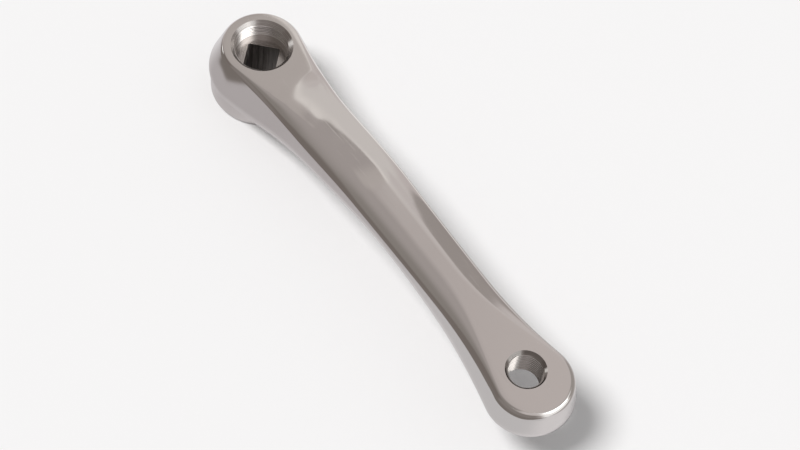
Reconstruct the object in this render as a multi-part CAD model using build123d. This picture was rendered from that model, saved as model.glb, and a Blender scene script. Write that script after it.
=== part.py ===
from build123d import *
import os
from math import radians, sqrt, tan

# A left-hand square-taper bicycle crank arm, forged in one piece, machined and polished.
# Z runs along the spindle axis, outward from the bicycle. X runs from the spindle to the pedal.
# The origin is on the spindle axis, in the plane of the boss's inner face. Sizes are in mm and degrees.

# Lengthwise layout
crank_length = 170.0
eye_shift = 4.2  # the eye's round end is centred this far past the pedal axis
boss_flare = 42.0  # from the spindle axis to where the boss has run out into the arm
eye_flare = 43.0  # the same at the eye, from the centre of its round end

# Half widths at the edge line, where the bevelled front meets the side wall
boss_edge = 16.3
arm_edge_at_boss = 12.5
arm_edge_at_eye = 11.2
eye_edge = 15.7

# Width and depth of the bevel between the flat of the front and the edge line
boss_bevel = 1.4
arm_bevel = 9.0
eye_bevel = 2.3
boss_bevel_depth = 1.8
arm_bevel_depth = 2.4
eye_bevel_depth = 2.25

# Steepness of the bevel where it ends at the edge line, below level
boss_bevel_slope = 68.0
arm_bevel_slope = 46.0
eye_bevel_slope = 70.0

# Depth of the boss, and how far and where the front rises past it to run straight on to the eye
boss_depth = 27.5
front_rise = 4.75
rise_start = 28.0
rise_end = 80.0

# The side's widest line, where the forging dies part: its depth behind the boss's front face
boss_parting_depth = 13.5
arm_parting_depth = -0.2
eye_parting_depth = 5.8
parting_start = 5.0
parting_middle = 0.56 * crank_length

# Drafts of the side wall, in front of the widest line and behind it
boss_draft = 20.0
arm_draft = 5.0
eye_draft = 11.5
back_draft = 8.0

# Thickness behind the widest line at the boss and along the arm, and of the whole eye
boss_back = 6.5
arm_back = 6.3
eye_thickness = 14.0
arm_back_start = 30.0
thicken_start = 0.65 * crank_length
thicken_end = crank_length - 2.0

# Hub: the round inner end of the boss, set in a little from the widest line
hub_set_in = 0.7
hub_draft = 2.0
hub_round = 1.5
hub_hollow = 6.0  # radius of the hollow between the hub and the back of the arm

# Roundings of the edge line, the widest line and the back edge, which is rounder along the arm
edge_round = 0.7
side_round = 8.0
back_round = 2.0
arm_back_round = 5.0

# Extractor hole: an M22 x 1 thread in the front of the boss, above a plain seat for the crank bolt
extractor_diameter = 22.0
extractor_core = 20.9
extractor_mouth = 24.4
extractor_thread_depth = 7.0
extractor_depth = 9.5

# Square for the spindle: its corners point along and across the arm, and it widens inward
square_side = 12.75  # at the bolt seat
square_taper = 2.0  # on each side
square_corner = 0.8
square_lead = 0.6

# Pedal hole: a 9/16 inch left-hand thread through the eye
pedal_diameter = 14.29
pedal_mouth = 15.5

# Cross-sections: places in each flare as shares of its length, and between the flares
flare_steps = (0.0, 0.1, 0.21, 0.36, 0.52, 0.72, 0.95)
middle_steps = (0.1, 0.2, 0.3, 0.4, 0.5, 0.6, 0.7, 0.8, 0.9)
change_share = 0.6  # share of the way to mid-arm over which a size changes from its end value

# How far the hole cutters run past the faces
cutter_reach = 3.0

eye_centre = crank_length + eye_shift
eye_flare_start = eye_centre - eye_flare
arm_middle = (boss_flare + eye_flare_start) / 2
eye_front = boss_depth + front_rise
eye_back = eye_front - eye_thickness
boss_parting = boss_depth - boss_parting_depth
arm_parting = boss_depth - arm_parting_depth
eye_parting = boss_depth - eye_parting_depth


def ease(x, start, end):
    """0 before start, 1 after end, smooth in between"""
    t = min(max((x - start) / (end - start), 0.0), 1.0)
    return t * t * (3 - 2 * t)


def mix(a, b, share):
    return a + (b - a) * share


def along(x, boss, arm, eye):
    """a size at x that runs from its boss value to its arm value and on to its eye value"""
    if x < arm_middle:
        return mix(boss, arm, ease(x, 0.0, arm_middle * change_share))
    return mix(eye, arm, ease(eye_centre - x, 0.0, (eye_centre - arm_middle) * change_share))


def flank(x, radius, width, flare):
    """half width at x of a round end whose circle runs through a hollow arc into a straight side"""
    hollow = (flare**2 - radius**2 + width**2) / (2 * (radius - width))
    if x < radius * flare / (radius + hollow):
        return sqrt(radius**2 - x**2)
    if x < flare:
        return width + hollow - sqrt(hollow**2 - (flare - x) ** 2)
    return width


def half_section(x):
    """the corners of one half of the cross-section at x, as (half width, height)"""
    arm_edge = mix(arm_edge_at_boss, arm_edge_at_eye, ease(x, boss_flare, eye_flare_start))
    if x < arm_middle:
        edge = flank(x, boss_edge, arm_edge, boss_flare)
    else:
        edge = flank(eye_centre - x, eye_edge, arm_edge, eye_flare)
    front = mix(boss_depth, eye_front, ease(x, rise_start, rise_end))
    bevel_depth = along(x, boss_bevel_depth, arm_bevel_depth, eye_bevel_depth)
    slope = tan(radians(along(x, boss_bevel_slope, arm_bevel_slope, eye_bevel_slope)))
    parting = mix(boss_parting, arm_parting, ease(x, parting_start, parting_middle))
    parting = mix(parting, eye_parting, ease(x, parting_middle, eye_centre))
    draft = tan(radians(along(x, boss_draft, arm_draft, eye_draft)))
    widest = edge + draft * (front - bevel_depth - parting)
    back = parting - mix(boss_back, arm_back, ease(x, 0.0, arm_back_start))
    back = mix(back, eye_back, ease(x, thicken_start, thicken_end))
    return {
        "flat": (edge - along(x, boss_bevel, arm_bevel, eye_bevel), front),
        "pull": (edge - bevel_depth / slope, front),  # where the bevel's end tangents meet
        "edge": (edge, front - bevel_depth),
        "widest": (widest, parting),
        "foot": (widest - tan(radians(back_draft)) * (parting - back), back),
    }


def rounded(face, points, radius):
    """the face with its corners at the points rounded"""
    corners = [v for v in face.vertices() for p in points if (v.center() - Vector(*p)).length < 1e-4]
    return face.fillet_2d(radius, corners)


def section(x, whole=True):
    """the cross-section at x as a face: all of it, or the half on one side of the middle plane"""
    right = half_section(x)
    left = {name: (-width, height) for name, (width, height) in right.items()}
    sides = [right, left] if whole else [right]
    lines = []
    for side in sides:
        lines.append(Bezier(side["flat"], side["pull"], side["edge"]))
        lines.append(Polyline(side["edge"], side["widest"], side["foot"]))
    if whole:
        lines.append(Line(left["flat"], right["flat"]))
        lines.append(Line(left["foot"], right["foot"]))
    else:
        top, bottom = (0.0, right["flat"][1]), (0.0, right["foot"][1])
        lines.append(Polyline(right["flat"], top, bottom, right["foot"]))
    face = make_face([edge for line in lines for edge in line.edges()]).face()
    face = rounded(face, [side["edge"] for side in sides], edge_round)
    face = rounded(face, [side["widest"] for side in sides], side_round)
    foot_round = along(x, back_round, arm_back_round, back_round)
    face = rounded(face, [side["foot"] for side in sides], foot_round)
    return Plane(origin=(x, 0, 0), x_dir=(0, 1, 0), z_dir=(1, 0, 0)) * face


# Forging: the arm is lofted between the axes of its two ends, and each round end is half a turn
stations = [boss_flare * step for step in flare_steps]
stations += [mix(boss_flare, eye_flare_start, step) for step in middle_steps]
stations += [eye_centre - eye_flare * step for step in reversed(flare_steps)]
body = loft([section(x) for x in stations])
body += revolve(section(0.0, whole=False), Axis.Z, 180)
body += revolve(section(eye_centre, whole=False), Axis((eye_centre, 0, 0), (0, 0, 1)), -180)

# Hub
hub_radius = half_section(0.0)["widest"][0] - hub_set_in
hub_foot = hub_radius - tan(radians(hub_draft)) * boss_parting
hub_line = Polyline((0, boss_parting), (hub_radius, boss_parting), (hub_foot, 0), (0, 0), close=True)
hub_half = rounded(make_face(hub_line.edges()).face(), [(hub_foot, 0)], hub_round)
body += revolve(Plane.XZ * hub_half, Axis.Z, 360)


def in_hollow(edge):
    """whether an edge lies in the corner between the hub and the back of the arm"""
    middle = edge.position_at(0.5)
    on_hub = hub_foot < Vector(middle.X, middle.Y).length < hub_radius
    return on_hub and middle.X > boss_edge / 2 and middle.Z > hub_round and edge.geom_type != GeomType.LINE


body = fillet([edge for edge in body.edges() if in_hollow(edge)], hub_hollow)


def bore(x, points):
    """a round cutter on the axis at x, through (diameter, height) points from the top down"""
    outline = [(diameter / 2, height) for diameter, height in points]
    outline = [(0, outline[0][1])] + outline + [(0, outline[-1][1])]
    half = make_face(Polyline(*outline, close=True).edges()).face()
    return Pos(x, 0, 0) * revolve(Plane.XZ * half, Axis.Z, 360)


# Extractor hole, square and pedal hole, with mouths chamfered at 45 degrees
thread_end = boss_depth - extractor_thread_depth
seat = boss_depth - extractor_depth
extractor_hole = bore(0, [
    (extractor_mouth + 2 * cutter_reach, boss_depth + cutter_reach),
    (extractor_diameter, boss_depth - (extractor_mouth - extractor_diameter) / 2),
    (extractor_diameter, thread_end),
    (extractor_core, thread_end - (extractor_diameter - extractor_core) / 2),
    (extractor_core, seat),
])
square = Rot(0, 0, 45) * RectangleRounded(square_side, square_side, square_corner)
square_hole = extrude(Pos(0, 0, seat) * square, -seat - cutter_reach, taper=-square_taper)
pedal_chamfer = (pedal_mouth - pedal_diameter) / 2
pedal_hole = bore(crank_length, [
    (pedal_mouth + 2 * cutter_reach, eye_front + cutter_reach),
    (pedal_diameter, eye_front - pedal_chamfer),
    (pedal_diameter, eye_back + pedal_chamfer),
    (pedal_mouth + 2 * cutter_reach, eye_back - cutter_reach),
])
body -= [extractor_hole, square_hole, pedal_hole]
inner_face = body.faces().sort_by(Axis.Z)[0]
body = chamfer(inner_face.inner_wires()[0].edges(), square_lead)

os.makedirs("parts", exist_ok=True)
export_step(body, "parts/crank_arm.step")
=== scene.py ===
from math import ceil, cos, degrees, hypot, pi, radians, sin, sqrt, tan

import bmesh
import bpy
from mathutils import Euler, Matrix, Vector


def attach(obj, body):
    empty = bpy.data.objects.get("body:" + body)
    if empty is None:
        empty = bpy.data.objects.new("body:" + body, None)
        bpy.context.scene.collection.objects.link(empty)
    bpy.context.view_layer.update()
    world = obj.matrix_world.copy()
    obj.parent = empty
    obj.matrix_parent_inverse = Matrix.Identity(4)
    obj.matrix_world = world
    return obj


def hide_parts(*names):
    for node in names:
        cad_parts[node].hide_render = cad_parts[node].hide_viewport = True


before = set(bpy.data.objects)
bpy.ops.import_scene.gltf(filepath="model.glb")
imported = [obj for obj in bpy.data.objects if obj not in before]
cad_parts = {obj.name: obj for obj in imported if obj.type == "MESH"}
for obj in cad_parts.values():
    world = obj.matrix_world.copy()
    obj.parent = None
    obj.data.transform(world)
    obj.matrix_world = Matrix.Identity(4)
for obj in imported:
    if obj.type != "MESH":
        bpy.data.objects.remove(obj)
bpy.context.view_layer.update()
scene = bpy.context.scene
scene.view_settings.view_transform = "Standard"

# Sizes are in mm and degrees, and a mesh drawn in mm is scaled to metres when its piece is made
MM = 0.001
METRE = 1000.0

# The arm's sizes, the same as in the part's source
crank_length = 170.0
eye_shift = 4.2
boss_flare = 42.0
eye_flare = 43.0
boss_edge = 16.3
arm_edge_at_boss = 12.5
arm_edge_at_eye = 11.2
eye_edge = 15.7
bevel_width = (1.4, 9.0, 2.3)  # at the boss, along the arm and at the eye, and so on below
bevel_depth = (1.8, 2.4, 2.25)
bevel_slope = (68.0, 46.0, 70.0)
side_draft = (20.0, 5.0, 11.5)
boss_depth = 27.5
front_rise = 4.75
rise_start = 28.0
rise_end = 80.0
boss_parting_depth = 13.5
arm_parting_depth = -0.2
eye_parting_depth = 5.8
parting_start = 5.0
parting_middle = 0.56 * crank_length
back_draft = 8.0
boss_back = 6.5
arm_back = 6.3
eye_thickness = 14.0
arm_back_start = 30.0
thicken_start = 0.65 * crank_length
thicken_end = crank_length - 2.0
hub_set_in = 0.7
hub_draft = 2.0
hub_round = 1.5
hub_hollow = 6.0
edge_round = 0.7
side_round = 8.0
back_round = (2.0, 5.0, 2.0)
extractor_radius = 11.0
extractor_core = 10.45
extractor_mouth = 12.2
extractor_thread_depth = 7.0
extractor_depth = 9.5
square_side = 12.75
square_taper = 2.0
square_corner = 0.8
square_lead = 0.6
pedal_radius = 7.145
pedal_mouth = 7.75
change_share = 0.6
cutter_reach = 3.0

# Places that follow from them
eye_centre = crank_length + eye_shift
eye_flare_start = eye_centre - eye_flare
arm_middle = (boss_flare + eye_flare_start) / 2
eye_front = boss_depth + front_rise
eye_back = eye_front - eye_thickness
boss_parting = boss_depth - boss_parting_depth
arm_parting = boss_depth - arm_parting_depth
eye_parting = boss_depth - eye_parting_depth
seat = boss_depth - extractor_depth
thread_end = boss_depth - extractor_thread_depth

# Polishing by hand: the front's crown and roll behind the boss, and where along the arm they come and go
crown = 0.0066  # curvature across the arm, per mm
crown_comes, crown_goes = (19.0, 27.0), (55.0, 75.0)
roll = 2.4
roll_comes, roll_halves, roll_goes = (20.0, 27.0), (39.0, 44.0), (42.0, 62.0)

# The hub's hollow dies out between these shares of the hub's radius, away from the arm's middle plane
hollow_fade = (0.3, 0.62)

# Threads: sunk a little into the wall, with ridges that stay behind the chamfer of the bore's mouth
extractor_pitch = 1.0
extractor_crest = extractor_core + 0.01
extractor_run_out = 0.8
pedal_pitch = 1.27
pedal_crest = 6.5
thread_set_in = 0.7
thread_sunk = 0.1
thread_relief = 0.03
thread_flank = 30.0
crest_share = 1 / 8

# Fineness of the meshes, as rows along a line or steps round an arc or a turn
flat_rows = 6
bevel_rows = 16
edge_steps = 5
side_steps = 8
back_steps = 8
wall_shares = (0.25, 0.5, 0.75)
arm_rows = 200
end_rows = 30
hub_round_steps = 6
hub_rows = 24
hub_steps = 128
extractor_steps = 96
pedal_steps = 72
thread_steps = 72
square_corner_steps = 5
square_overrun = 1.0
seam = 1e-5  # points nearer than this are one
sliver = 0.002  # the same after the holes are cut
sharp_angle = 24.0


# Form of the forging

def ease(x, start, end):
    """0 before start, 1 after end, smooth in between"""
    t = min(max((x - start) / (end - start), 0.0), 1.0)
    return t * t * (3 - 2 * t)


def mix(a, b, share):
    return a + (b - a) * share


def along(x, ends):
    """a size at x that runs from its boss value to its arm value and on to its eye value"""
    boss, arm, eye = ends
    if x < arm_middle:
        return mix(boss, arm, ease(x, 0.0, arm_middle * change_share))
    return mix(eye, arm, ease(eye_centre - x, 0.0, (eye_centre - arm_middle) * change_share))


def flank(x, radius, width, flare):
    """half width at x of a round end that runs through a hollow arc into a straight side"""
    hollow = (flare**2 - radius**2 + width**2) / (2 * (radius - width))
    if x < radius * flare / (radius + hollow):
        return sqrt(radius**2 - x**2)
    if x < flare:
        return width + hollow - sqrt(hollow**2 - (flare - x) ** 2)
    return width


def side_heights(x):
    """heights of the widest line and of the back at x"""
    parting = mix(boss_parting, arm_parting, ease(x, parting_start, parting_middle))
    parting = mix(parting, eye_parting, ease(x, parting_middle, eye_centre))
    back = parting - mix(boss_back, arm_back, ease(x, 0.0, arm_back_start))
    return parting, mix(back, eye_back, ease(x, thicken_start, thicken_end))


def half_section(x):
    """corners of half the cross-section: end of the flat, pull of the bevel, edge, widest line, back edge"""
    arm_edge = mix(arm_edge_at_boss, arm_edge_at_eye, ease(x, boss_flare, eye_flare_start))
    if x < arm_middle:
        edge = flank(x, boss_edge, arm_edge, boss_flare)
    else:
        edge = flank(eye_centre - x, eye_edge, arm_edge, eye_flare)
    front = mix(boss_depth, eye_front, ease(x, rise_start, rise_end))
    depth = along(x, bevel_depth)
    parting, back = side_heights(x)
    widest = edge + tan(radians(along(x, side_draft))) * (front - depth - parting)
    return (
        Vector((edge - along(x, bevel_width), front)),
        Vector((edge - depth / tan(radians(along(x, bevel_slope))), front)),
        Vector((edge, front - depth)),
        Vector((widest, parting)),
        Vector((widest - tan(radians(back_draft)) * (parting - back), back)),
    )


def corner_arc(before, corner, after, radius, steps):
    """points of the arc that rounds a corner"""
    a, b = (before - corner).normalized(), (after - corner).normalized()
    half = a.angle(b) / 2
    centre = corner + (a + b).normalized() * (radius / sin(half))
    start = corner + a * (radius / tan(half)) - centre
    end = corner + b * (radius / tan(half)) - centre
    turn = pi - 2 * half
    shares = [i / steps for i in range(steps + 1)]
    return [centre + (start * sin((1 - s) * turn) + end * sin(s * turn)) / sin(turn) for s in shares]


def polish(x, side, width):
    """how far polishing by hand has lowered the front, which it crowned and rolled a little behind the boss"""
    curve = crown * ease(x, *crown_comes) * (1 - ease(x, *crown_goes))
    lean = roll * ease(x, *roll_comes) - roll / 2 * ease(x, *roll_halves) - roll / 2 * ease(x, *roll_goes)
    return curve * width**2 / 2 + side * width * tan(radians(lean))


def half_profile(x, side):
    """points of half the cross-section, from the middle of the front round to the middle of the back"""
    flat, pull, edge, widest, foot = half_section(x)
    edge_arc = corner_arc(pull, edge, widest, edge_round, edge_steps)
    widest_arc = corner_arc(edge, widest, foot, side_round, side_steps)
    foot_arc = corner_arc(widest, foot, Vector((0, foot.y)), along(x, back_round), back_steps)
    last = 1 - (edge_arc[0] - edge).length / (2 * (edge - pull).length)
    points = [Vector((flat.x * i / flat_rows, flat.y)) for i in range(flat_rows)]
    for i in range(bevel_rows):
        t = last * i / bevel_rows
        points.append(flat * (1 - t) ** 2 + pull * (2 * t * (1 - t)) + edge * t**2)
    for point in points:
        point.y -= polish(x, side, point.x) * (1 - ease(point.x, flat.x, edge_arc[0].x))
    points += edge_arc
    points += [edge_arc[-1].lerp(widest_arc[0], share) for share in wall_shares]
    points += widest_arc + foot_arc + [Vector((0, foot.y))]
    return points


def station(row):
    """place of a cross-section along the arm, and how far it is turned about the round end's axis"""
    if row < end_rows:
        return 0.0, -pi / 2 * (1 - row / end_rows)
    if row > end_rows + arm_rows:
        return eye_centre, pi / 2 * (row - end_rows - arm_rows) / end_rows
    return eye_centre * (row - end_rows) / arm_rows, 0.0


def forging():
    """a sheet bent round the arm: its rows follow the cross-section and turn half round at both ends"""
    rows = 2 * end_rows + arm_rows
    half = len(half_profile(0.0, 1)) - 1
    bm = bmesh.new()
    bmesh.ops.create_grid(bm, x_segments=rows, y_segments=2 * half, size=1)
    profiles = {}
    for v in bm.verts:
        row, place = round((v.co.x + 1) / 2 * rows), round((v.co.y + 1) / 2 * 2 * half)
        x, turn = station(row)
        side = 1 if place <= half else -1
        if (x, side) not in profiles:
            profiles[x, side] = half_profile(x, side)
        width, height = profiles[x, side][place if side > 0 else 2 * half - place]
        v.co = (x + width * sin(turn), side * width * cos(turn), height)
    bmesh.ops.remove_doubles(bm, verts=bm.verts, dist=seam)
    bmesh.ops.recalc_face_normals(bm, faces=bm.faces)
    return bm


def turned(points, steps, x=0.0):
    """a solid turned about the axis at x through (radius, height) points"""
    bm = bmesh.new()
    line = [bm.verts.new((radius, 0, height)) for radius, height in points]
    edges = [bm.edges.new(pair) for pair in zip(line, line[1:])]
    bmesh.ops.spin(bm, geom=line + edges, cent=(0, 0, 0), axis=(0, 0, 1), angle=2 * pi, steps=steps,
                   use_merge=True)
    bmesh.ops.remove_doubles(bm, verts=bm.verts, dist=seam)
    bmesh.ops.recalc_face_normals(bm, faces=bm.faces)
    bmesh.ops.translate(bm, verts=bm.verts, vec=(x, 0, 0))
    return bm


def hub():
    """the round inner end of the boss, flared into the back of the arm by a hollow"""
    radius = half_section(0.0)[3].x - hub_set_in
    foot = Vector((radius - tan(radians(hub_draft)) * boss_parting, 0))
    shoulder = Vector((radius, boss_parting))
    points = [Vector((0, 0))] + corner_arc(Vector((0, 0)), foot, shoulder, hub_round, hub_round_steps)
    wall_start = points[-1]
    points += [wall_start.lerp(shoulder, i / hub_rows) for i in range(1, hub_rows + 1)]
    bm = turned(points + [Vector((0, boss_parting))], hub_steps)
    hollow_start = side_heights(radius + hub_hollow)[1] - hub_hollow
    fade_start, fade_end = (share * radius for share in hollow_fade)
    for v in bm.verts:
        up = min(v.co.z - hollow_start, hub_hollow)
        if v.co.x > 0 and up > 0:
            flare = hub_hollow - sqrt(hub_hollow**2 - up**2)
            share = 1 + flare / radius * (1 - ease(abs(v.co.y), fade_start, fade_end))
            v.co.x, v.co.y = v.co.x * share, v.co.y * share
    return bm


def thread(x, low, high, pitch, hand, root, crest, mouth_radius, mouths):
    """a ridge that winds up a bore's wall, cut back at the bore's mouths; hand is -1 for a left-hand thread"""
    sunk = root + thread_sunk
    crest_half = pitch * crest_share
    root_half = crest_half + (sunk - crest) * tan(radians(thread_flank))
    bm = bmesh.new()
    outline = ((sunk, -root_half), (crest, -crest_half), (crest, crest_half), (sunk, root_half))
    loop = [bm.verts.new((radius, 0, low + height)) for radius, height in outline]
    edges = [bm.edges.new(pair) for pair in zip(loop, loop[1:] + loop[:1])]
    turns = (high - low) / pitch
    steps = ceil(turns * thread_steps)
    bmesh.ops.spin(bm, geom=loop + edges, cent=(0, 0, 0), axis=(0, 0, 1), angle=hand * turns * 2 * pi,
                   dvec=(0, 0, (high - low) / steps), steps=steps)
    bmesh.ops.holes_fill(bm, edges=bm.edges)
    for v in bm.verts:
        radius = hypot(v.co.x, v.co.y)
        limit = max(mouth_radius - abs(mouth - v.co.z) + thread_relief for mouth in mouths)
        if radius < limit:
            v.co.x, v.co.y = v.co.x * limit / radius, v.co.y * limit / radius
    bmesh.ops.recalc_face_normals(bm, faces=bm.faces)
    bmesh.ops.translate(bm, verts=bm.verts, vec=(x, 0, 0))
    return bm


def square_prism(low, high, low_side, high_side):
    """a tapered square with rounded corners that point along and across the arm"""
    bm = bmesh.new()
    bmesh.ops.create_cone(bm, cap_ends=True, segments=4, radius1=low_side / sqrt(2),
                          radius2=high_side / sqrt(2), depth=high - low,
                          matrix=Matrix.Translation((0, 0, (low + high) / 2)))
    corners = [e for e in bm.edges if abs(e.verts[0].co.z - e.verts[1].co.z) > seam]
    bmesh.ops.bevel(bm, geom=corners, offset=square_corner, offset_type="OFFSET", affect="EDGES",
                    segments=square_corner_steps, profile=0.5, material=-1)
    bmesh.ops.recalc_face_normals(bm, faces=bm.faces)
    return bm


def piece(bm, name, material):
    """an object from a mesh drawn in mm"""
    for face in bm.faces:
        face.smooth = True
    bmesh.ops.scale(bm, verts=bm.verts, vec=(MM, MM, MM))
    mesh = bpy.data.meshes.new(name)
    bm.to_mesh(mesh)
    bm.free()
    mesh.materials.append(material)
    made = bpy.data.objects.new(name, mesh)
    scene.collection.objects.link(made)
    return made


def joined(base, tool, how):
    """adds the tool's solid to base or takes it away, and the faces that it leaves keep the tool's finish"""
    cut = base.modifiers.new("cut", "BOOLEAN")
    cut.operation, cut.object, cut.solver, cut.material_mode = how, tool, "EXACT", "TRANSFER"
    solid = bpy.data.meshes.new_from_object(base.evaluated_get(bpy.context.evaluated_depsgraph_get()))
    base.modifiers.remove(cut)
    base.data = solid
    bpy.data.objects.remove(tool)


# Finishes

def linear(code):
    """an sRGB hex value as linear colour"""
    values = [int(code[i:i + 2], 16) / 255 for i in (1, 3, 5)]
    return [v / 12.92 if v <= 0.04045 else ((v + 0.055) / 1.055) ** 2.4 for v in values] + [1.0]


def node(tree, kind, inputs=None, **settings):
    """adds a node, sets its fields and fills its inputs: sockets are linked, and a hex value is a colour"""
    made = tree.nodes.new(kind)
    for name, value in settings.items():
        setattr(made, name, value)
    for name, value in (inputs or {}).items():
        if isinstance(value, bpy.types.NodeSocket):
            tree.links.new(value, made.inputs[name])
        else:
            made.inputs[name].default_value = linear(value) if isinstance(value, str) else value
    return made


# Sockets of a Mix node that blends colours: its share, its two colours and the blend
SHARE, FIRST, SECOND, BLEND = 0, 6, 7, 2


def new_finish(name):
    """an empty material and its tree"""
    made = bpy.data.materials.new(name)
    made.use_nodes = True
    made.node_tree.nodes.clear()
    return made, made.node_tree


# Forged aluminium, ground and buffed: a mirror-like front with a faint haze, buffing lines along the arm and
# a few scratches, and satin sides with a fine grain. Lines and scratches are drawn coarser than real ones,
# to show. Sizes of the patterns are in mm.
def polished_aluminium():
    haze_size = 9.0
    buffing_line = (45.0, 0.6, 0.6)
    scratch, scratch_slant = (16.0, 0.5, 9.0), 38.0
    grain_size = 0.8
    relief = 0.002

    made, tree = new_finish("polished forged aluminium")
    place = node(tree, "ShaderNodeTexCoord")
    facing = node(tree, "ShaderNodeSeparateXYZ", {"Vector": place.outputs["Normal"]})
    satin = node(tree, "ShaderNodeMapRange", {
        "Value": facing.outputs["Z"], "From Min": 0.30, "From Max": 0.14})
    front = node(tree, "ShaderNodeMapRange", {
        "Value": facing.outputs["Z"], "From Min": 0.5, "From Max": 0.8})
    haze = node(tree, "ShaderNodeTexNoise", {
        "Vector": place.outputs["Object"], "Scale": METRE / haze_size, "Detail": 4.0})
    along_arm = node(tree, "ShaderNodeMapping", {
        "Vector": place.outputs["Object"], "Scale": [METRE / size for size in buffing_line]})
    lines = node(tree, "ShaderNodeTexNoise", {"Vector": along_arm.outputs[0], "Scale": 1.0, "Detail": 3.0})
    aslant = node(tree, "ShaderNodeMapping", {
        "Vector": place.outputs["Object"], "Rotation": (0, 0, radians(scratch_slant)),
        "Scale": [METRE / size for size in scratch]})
    streaks = node(tree, "ShaderNodeTexNoise", {"Vector": aslant.outputs[0], "Scale": 1.0, "Detail": 0.0})
    streaks = node(tree, "ShaderNodeMapRange", {
        "Value": streaks.outputs["Fac"], "From Min": 0.76, "From Max": 0.84})
    scratches = node(tree, "ShaderNodeMath", {0: streaks.outputs[0], 1: front.outputs[0]}, operation="MULTIPLY")
    grain = node(tree, "ShaderNodeTexNoise", {
        "Vector": place.outputs["Object"], "Scale": METRE / grain_size, "Detail": 2.0})
    satin_grain = node(tree, "ShaderNodeMath", {0: grain.outputs["Fac"], 1: satin.outputs[0]},
                       operation="MULTIPLY")

    rough = node(tree, "ShaderNodeMapRange", {
        "Value": haze.outputs["Fac"], "From Min": 0.3, "From Max": 0.7, "To Min": 0.04, "To Max": 0.085})
    for detail, amount in (
            (lines.outputs["Fac"], 0.03), (scratches.outputs[0], 0.15), (satin.outputs[0], 0.11)):
        rough = node(tree, "ShaderNodeMath", {0: detail, 1: amount, 2: rough.outputs[0]},
                     operation="MULTIPLY_ADD")
    height = node(tree, "ShaderNodeMath", {0: lines.outputs["Fac"], 1: 0.4}, operation="MULTIPLY")
    for detail, amount in ((scratches.outputs[0], -1.5), (satin_grain.outputs[0], 4.0)):
        height = node(tree, "ShaderNodeMath", {0: detail, 1: amount, 2: height.outputs[0]},
                      operation="MULTIPLY_ADD")
    bump = node(tree, "ShaderNodeBump", {"Height": height.outputs[0], "Distance": relief * MM, "Strength": 1.0})
    shader = node(tree, "ShaderNodeBsdfPrincipled", {
        "Base Color": "#E6E2DF", "Metallic": 1.0, "Roughness": rough.outputs[0], "Normal": bump.outputs[0]})
    node(tree, "ShaderNodeOutputMaterial", {"Surface": shader.outputs[0]})
    return made


# Bores as the tool left them, bright at the boss and darker at the pedal, where the darker tones are painted
# shade
# in the bore: fine rings round the axis draw highlights out into fans. The rings are drawn coarser than real
# ones, to show.
def machined_aluminium(name, dull, bright, smooth, coarse):
    ring_width = 0.45
    relief = 0.004

    made, tree = new_finish(name)
    place = node(tree, "ShaderNodeTexCoord")
    split = node(tree, "ShaderNodeSeparateXYZ", {"Vector": place.outputs["Object"]})
    half = crank_length / 2 * MM
    from_axis = node(tree, "ShaderNodeMath", {0: split.outputs["X"], 1: half, 2: -half}, operation="WRAP")
    arm_of_cut = node(tree, "ShaderNodeCombineXYZ", {"X": from_axis.outputs[0], "Y": split.outputs["Y"]})
    radius = node(tree, "ShaderNodeVectorMath", {0: arm_of_cut.outputs[0]}, operation="LENGTH")
    feed = node(tree, "ShaderNodeMath", {0: radius.outputs["Value"], 1: split.outputs["Z"]}, operation="ADD")
    feed = node(tree, "ShaderNodeMath", {0: feed.outputs[0], 1: METRE / ring_width}, operation="MULTIPLY")
    rings = node(tree, "ShaderNodeTexNoise", {"W": feed.outputs[0], "Scale": 1.0, "Detail": 2.0},
                 noise_dimensions="1D")
    rough = node(tree, "ShaderNodeMapRange", {
        "Value": rings.outputs["Fac"], "From Min": 0.3, "From Max": 0.7, "To Min": smooth, "To Max": coarse})
    bump = node(tree, "ShaderNodeBump", {
        "Height": rings.outputs["Fac"], "Distance": relief * MM, "Strength": 1.0})
    cut = node(tree, "ShaderNodeVectorMath", {0: arm_of_cut.outputs[0], 1: (0, 0, 1)},
               operation="CROSS_PRODUCT")
    colour = node(tree, "ShaderNodeMix", {SHARE: rings.outputs["Fac"], FIRST: dull, SECOND: bright},
                  data_type="RGBA")
    shader = node(tree, "ShaderNodeBsdfPrincipled", {
        "Base Color": colour.outputs[BLEND], "Metallic": 1.0, "Roughness": rough.outputs[0],
        "Normal": bump.outputs[0], "Tangent": cut.outputs[0], "Anisotropic": 0.7, "Anisotropic Rotation": 0.25})
    node(tree, "ShaderNodeOutputMaterial", {"Surface": shader.outputs[0]})
    return made
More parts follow.
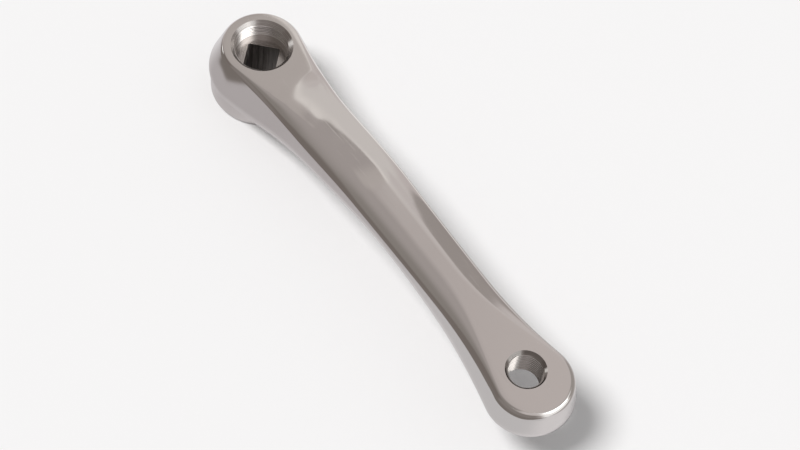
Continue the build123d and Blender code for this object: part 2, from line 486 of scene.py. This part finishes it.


# Broached square: dull and darker than the rest of the metal, with lines along the spindle that the broach's
# teeth left
def broached_aluminium():
    tooth_line = (0.9, 0.9, 40.0)
    relief = 0.08
    noise_low, noise_high = 0.35, 0.65

    made, tree = new_finish("broached aluminium")
    place = node(tree, "ShaderNodeTexCoord")
    drawn = node(tree, "ShaderNodeMapping", {
        "Vector": place.outputs["Object"], "Scale": [METRE / size for size in tooth_line]})
    lines = node(tree, "ShaderNodeTexNoise", {"Vector": drawn.outputs[0], "Scale": 1.0, "Detail": 3.0})
    share = node(tree, "ShaderNodeMapRange", {
        "Value": lines.outputs["Fac"], "From Min": noise_low, "From Max": noise_high})
    colour = node(tree, "ShaderNodeMix", {SHARE: share.outputs[0], FIRST: "#7C7672", SECOND: "#B9B4B0"},
                  data_type="RGBA")
    rough = node(tree, "ShaderNodeMapRange", {
        "Value": lines.outputs["Fac"], "From Min": noise_low, "From Max": noise_high,
        "To Min": 0.42, "To Max": 0.6})
    bump = node(tree, "ShaderNodeBump", {
        "Height": lines.outputs["Fac"], "Distance": relief * MM, "Strength": 1.0})
    shader = node(tree, "ShaderNodeBsdfPrincipled", {
        "Base Color": colour.outputs[BLEND], "Metallic": 1.0, "Roughness": rough.outputs[0],
        "Normal": bump.outputs[0]})
    node(tree, "ShaderNodeOutputMaterial", {"Surface": shader.outputs[0]})
    return made


polished, broached = polished_aluminium(), broached_aluminium()
machined = machined_aluminium("machined aluminium", "#B4AFAB", "#D6D2CF", smooth=0.17, coarse=0.28)
# The pedal's bore takes darker tones: painted shade inside that bore
machined_with_painted_shade = machined_aluminium("machined aluminium with painted shade", "#908B87", "#BCB7B3", smooth=0.12, coarse=0.2)

# The crank arm: the forging and its hub, with the holes cut
arm = piece(forging(), "crank_arm_polished", polished)
joined(arm, piece(hub(), "hub", polished), "UNION")

extractor_top = boss_depth + cutter_reach
extractor_hole = turned([
    (0, extractor_top), (extractor_mouth + cutter_reach, extractor_top),
    (extractor_radius, boss_depth - extractor_mouth + extractor_radius), (extractor_radius, thread_end),
    (extractor_core, thread_end - extractor_radius + extractor_core), (extractor_core, seat), (0, seat),
], extractor_steps)
joined(arm, piece(extractor_hole, "extractor_hole", machined), "DIFFERENCE")

growth = 2 * tan(radians(square_taper))
inner_side = square_side + growth * seat
square_hole = square_prism(-cutter_reach, seat + square_overrun, inner_side + growth * cutter_reach,
                           square_side - growth * square_overrun)
joined(arm, piece(square_hole, "square_hole", broached), "DIFFERENCE")
square_mouth = square_prism(-cutter_reach, square_lead, inner_side + 2 * (square_lead + cutter_reach),
                            inner_side)
joined(arm, piece(square_mouth, "square_mouth", machined), "DIFFERENCE")

pedal_lead = pedal_mouth - pedal_radius
pedal_top, pedal_bottom = eye_front + cutter_reach, eye_back - cutter_reach
pedal_hole = turned([
    (0, pedal_top), (pedal_mouth + cutter_reach, pedal_top), (pedal_radius, eye_front - pedal_lead),
    (pedal_radius, eye_back + pedal_lead), (pedal_mouth + cutter_reach, pedal_bottom), (0, pedal_bottom),
], pedal_steps, crank_length)
joined(arm, piece(pedal_hole, "pedal_hole", machined_with_painted_shade), "DIFFERENCE")

# Slivers that the cuts left in the arm are closed
arm_bm = bmesh.new()
arm_bm.from_mesh(arm.data)
bmesh.ops.remove_doubles(arm_bm, verts=arm_bm.verts, dist=sliver * MM)
bmesh.ops.dissolve_degenerate(arm_bm, dist=sliver * MM, edges=arm_bm.edges)
arm_bm.to_mesh(arm.data)
arm_bm.free()

# Threads
extractor_ridge = thread(0, thread_end - extractor_run_out, boss_depth - thread_set_in, extractor_pitch, 1,
                         extractor_radius, extractor_crest, extractor_mouth, [boss_depth])
extractor_thread = piece(extractor_ridge, "extractor_thread", machined)
pedal_ridge = thread(crank_length, eye_back + thread_set_in, eye_front - thread_set_in, pedal_pitch, -1,
                     pedal_radius, pedal_crest, pedal_mouth, [eye_front, eye_back])
pedal_thread = piece(pedal_ridge, "pedal_thread", machined_with_painted_shade)

for made in (arm, extractor_thread, pedal_thread):
    made.data.set_sharp_from_angle(angle=radians(sharp_angle))
    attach(made, "root")
    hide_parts("crank_arm")

# Floor
floor_tone = "#F7F6F6"
floor_half = 6000


# White paper, which takes the arm's shadow. In the metal's reflections it shows painted shade and light in
# place of its own
# shading: grey, dark to the left of a pale strip beside the arm, lighter on the arm's right, and far to the
# right white by the boss and grey by the arm.
def white_paper_with_painted_reflection():
    strip_place = -30  # a line along the arm, from beside the spindle, that the strip lies round

    made, tree = new_finish("white paper floor")
    place = node(tree, "ShaderNodeTexCoord")
    split = node(tree, "ShaderNodeSeparateXYZ", {"Vector": place.outputs["Object"]})
    x, y = split.outputs["X"], split.outputs["Y"]
    behind = node(tree, "ShaderNodeMath", {0: x, 1: 0.0}, operation="MINIMUM")
    aside = node(tree, "ShaderNodeMath", {0: y, 1: -strip_place * MM}, operation="ADD")
    off_line = node(tree, "ShaderNodeCombineXYZ", {"X": behind.outputs[0], "Y": aside.outputs[0]})
    off_line = node(tree, "ShaderNodeVectorMath", {0: off_line.outputs[0]}, operation="LENGTH")

    # Each share runs from 0 to 1 between two places in mm
    share = {}
    for name, value, start, end in (
            ("eye", x, 40, 140), ("right", y, -34, -4), ("far right", y, 30, 110), ("past boss", x, -20, 70),
            ("left", y, -28, -46), ("off strip", off_line.outputs["Value"], 34.5, 39.5)):
        share[name] = node(tree, "ShaderNodeMapRange", {
            "Value": value, "From Min": start * MM, "From Max": end * MM},
            interpolation_type="SMOOTHSTEP").outputs[0]
    # Share of the darkest painted shade, to the left of the pale strip beside the arm
    dark = node(tree, "ShaderNodeMath", {0: share["off strip"], 1: share["left"]}, operation="MULTIPLY")
    far_right = node(tree, "ShaderNodeMix", {SHARE: share["past boss"], FIRST: "#F6F5F4", SECOND: "#A6A19E"},
                     data_type="RGBA")
    mirrored = node(tree, "ShaderNodeLightPath").outputs["Is Glossy Ray"]

    # Painted reflection: in glossy rays the floor takes these grey tones, which are painted shade and light
    # standing in for the floor's own shading
    painted_reflected_floor = "#BBB7B9"
    for amount, tone in ((share["eye"], "#CCCBCD"), (share["right"], "#DEDCDE"), (dark.outputs[0], "#7E7874"),
                         (share["far right"], far_right.outputs[BLEND])):
        painted_reflected_floor = node(tree, "ShaderNodeMix", {SHARE: amount, FIRST: painted_reflected_floor, SECOND: tone},
                     data_type="RGBA").outputs[BLEND]
    colour = node(tree, "ShaderNodeMix", {SHARE: mirrored, FIRST: floor_tone, SECOND: painted_reflected_floor}, data_type="RGBA")
    shader = node(tree, "ShaderNodeBsdfDiffuse", {"Color": colour.outputs[BLEND]})
    node(tree, "ShaderNodeOutputMaterial", {"Surface": shader.outputs[0]})
    return made


floor_bm = bmesh.new()
bmesh.ops.create_grid(floor_bm, x_segments=1, y_segments=1, size=floor_half)
floor = piece(floor_bm, "floor", white_paper_with_painted_reflection())

# Cards: tone, then corners as azimuth and elevation with the softness of the edge to the next corner
cards = (
    ("#8E8985", ((190, -95, 1), (285, -95, 25), (285, 95, 1), (190, 95, 35))),
    ("#CBC5C4", ((300, 40, 8), (425, 40, 1), (425, 95, 1), (300, 95, 20))),
    ("#7B7470", ((197, -30, 1), (255, -30, 8), (255, 47.5, 5), (197, 47.5, 7))),
    ("#898380", ((250, -30, 1), (340, -30, 6), (340, 42, 8), (250, 42, 8))),
    ("#C6BFBD", ((140, -30, 1), (200, -30, 6), (200, 40, 4), (140, 40, 1))),
    ("#A19C99", ((50, -30, 1), (108, -30, 5), (108, 62, 6), (50, 62, 1))),
    ("#B8B2AF", ((138, 50, 2), (152, 50, 3), (152, 59, 3), (138, 59, 2))),
    ("#C5BEBC", ((108, 56, 4), (138.0, 56, 8), (118, 90, 1), (108, 90, 6))),
    ("#C8C1C0", ((106, -30, 1), (195.6, -30, 0.35), (137.3, 57, 3), (106, 57, 5))),
    ("#D4D0CE", ((119, -30, 1), (195.6, -30, 0.35), (137.3, 57, 3), (119, 57, 6))),
    ("#E6E2DF", ((143.8, 42, 5), (147.3, 42, 0.35), (137.3, 57, 2), (133.8, 57, 2.5))),
    ("#CBC5C4", ((112, 44, 4), (131, 44, 3), (131, 57, 3), (112, 57, 4))),
    ("#8F8A86", ((174.8, 1, 0.3), (176.0, 1, 0.3), (146.6, 45, 0.3), (145.4, 45, 0.3))),
    ("#FFFFFF", ((50, 40, 5), (76, 40, 6), (90, 80, 8), (50, 80, 1))),
    ("#FFFFFF", ((388, 40, 5), (430, 40, 1), (430, 80, 8), (388, 80, 6))),
    ("#FFFFFF", ((351, -30, 1), (413, -30, 7), (413, 59, 5), (351, 59, 7))),
)

# Soft boxes among the cards, brighter than paper: azimuth, elevation, half sizes, softness and strength
soft_boxes = ((396, 51, 27, 15, 6, 3.2), (210, 8, 7, 7, 4, 1.6))
bare_tent = "#AAA4A2"
plain_light = "#A6A6A6"
middle_azimuth = 240.0  # azimuths run half a turn each way from here


# Light: a white tent. Polished metal mirrors the cards in it, and all else gets its plain light.
def white_tent():
    made = bpy.data.worlds.new("white tent")
    made.use_nodes = True
    made.cycles.sampling_method = "NONE"
    tree = made.node_tree
    tree.nodes.clear()
    outward = node(tree, "ShaderNodeMapping", {
        "Vector": node(tree, "ShaderNodeTexCoord").outputs["Generated"],
        "Rotation": (0, 0, radians(-middle_azimuth))})
    outward = node(tree, "ShaderNodeSeparateXYZ", {"Vector": outward.outputs[0]})
    azimuth = node(tree, "ShaderNodeMath", {0: outward.outputs["Y"], 1: outward.outputs["X"]},
                   operation="ARCTAN2")
    azimuth = node(tree, "ShaderNodeMath", {0: azimuth.outputs[0], 1: degrees(1), 2: middle_azimuth},
                   operation="MULTIPLY_ADD")
    elevation = node(tree, "ShaderNodeMath", {0: outward.outputs["Z"]}, operation="ARCSINE")
    elevation = node(tree, "ShaderNodeMath", {0: elevation.outputs[0], 1: degrees(1)}, operation="MULTIPLY")
    place = node(tree, "ShaderNodeCombineXYZ", {"X": azimuth.outputs[0], "Y": elevation.outputs[0], "Z": 1.0})

    mirrored = bare_tent
    for tone, corners in cards:
        inside = 1.0
        for (az, el, soft), (next_az, next_el, _) in zip(corners, corners[1:] + corners[:1]):
            inward = Vector((el - next_el, next_az - az)).normalized()
            line = (inward.x, inward.y, -inward.x * az - inward.y * el)
            depth = node(tree, "ShaderNodeVectorMath", {0: place.outputs[0], 1: line}, operation="DOT_PRODUCT")
            edge = node(tree, "ShaderNodeMapRange", {
                "Value": depth.outputs["Value"], "From Min": -soft, "From Max": soft},
                interpolation_type="SMOOTHSTEP")
            inside = node(tree, "ShaderNodeMath", {0: inside, 1: edge.outputs[0]},
                          operation="MULTIPLY").outputs[0]
        mirrored = node(tree, "ShaderNodeMix", {SHARE: inside, FIRST: mirrored, SECOND: tone},
                        data_type="RGBA").outputs[BLEND]
    for az, el, half_width, half_height, soft, strength in soft_boxes:
        inside = 1.0
        for value, middle, half in ((azimuth, az, half_width), (elevation, el, half_height)):
            away = node(tree, "ShaderNodeMath", {0: value.outputs[0], 1: middle}, operation="SUBTRACT")
            away = node(tree, "ShaderNodeMath", {0: away.outputs[0]}, operation="ABSOLUTE")
            edge = node(tree, "ShaderNodeMapRange", {
                "Value": away.outputs[0], "From Min": half + soft, "From Max": half - soft},
                interpolation_type="SMOOTHSTEP")
            inside = node(tree, "ShaderNodeMath", {0: inside, 1: edge.outputs[0]},
                          operation="MULTIPLY").outputs[0]
        mirrored = node(tree, "ShaderNodeMix", {
            SHARE: inside, FIRST: mirrored, SECOND: (strength, strength, strength, 1.0)},
            data_type="RGBA").outputs[BLEND]

    ray = node(tree, "ShaderNodeLightPath")
    light = plain_light
    for kind, tone in (("Is Camera Ray", floor_tone), ("Is Glossy Ray", mirrored)):
        light = node(tree, "ShaderNodeMix", {SHARE: ray.outputs[kind], FIRST: light, SECOND: tone},
                     data_type="RGBA").outputs[BLEND]
    tent = node(tree, "ShaderNodeBackground", {"Color": light, "Strength": 1.0})
    node(tree, "ShaderNodeOutputWorld", {"Surface": tent.outputs[0]})
    return made


scene.world = white_tent()

# Key light: soft, from the arm's left and behind the boss, so that the shadow falls along the arm and past
# the eye. The metal doesn't mirror it.
key_azimuth, key_elevation = -124, 60
key = bpy.data.objects.new("key", bpy.data.lights.new("key", "SUN"))
key.data.energy = 2.23
key.data.angle = radians(24)
key.rotation_euler = Euler((radians(90 - key_elevation), 0, radians(key_azimuth + 90)))
key.visible_glossy = False
scene.collection.objects.link(key)

# A dark card near the arm, upright and with rounded corners, which the arm's right bevel mirrors
near_half_width, near_half_height = 27, 190
near_corner, near_corner_steps = 22, 8
near_lean = -12.4
near_centre = (2.3, 218, 235)
near_bm = bmesh.new()
bmesh.ops.create_grid(near_bm, x_segments=1, y_segments=1, size=1)
bmesh.ops.scale(near_bm, verts=near_bm.verts, vec=(near_half_width, near_half_height, 1))
bmesh.ops.bevel(near_bm, geom=near_bm.verts[:], offset=near_corner, offset_type="OFFSET", affect="VERTICES",
                segments=near_corner_steps, profile=0.5, material=-1)
for angle, axis in ((90, "X"), (near_lean, "Y")):
    bmesh.ops.rotate(near_bm, verts=near_bm.verts, cent=(0, 0, 0),
                     matrix=Matrix.Rotation(radians(angle), 3, axis))
bmesh.ops.translate(near_bm, verts=near_bm.verts, vec=near_centre)
dark_card, card_tree = new_finish("dark card")
glow = node(card_tree, "ShaderNodeEmission", {"Color": "#A19B98", "Strength": 1.0})
node(card_tree, "ShaderNodeOutputMaterial", {"Surface": glow.outputs[0]})
near_card = piece(near_bm, "near_card", dark_card)
near_card.visible_camera = False
near_card.visible_diffuse = False
near_card.visible_shadow = False

# Camera
camera_turn = (30.5415, -5.3446, 54.5146)
camera = bpy.data.objects.new("camera", bpy.data.cameras.new("camera"))
camera.data.sensor_width = 36.0
camera.data.lens = 94.755
camera.data.clip_start = 0.01
camera.location = (0.38240, -0.28361, 0.69882)
camera.rotation_euler = Euler([radians(angle) for angle in camera_turn])
scene.collection.objects.link(camera)
scene.camera = camera
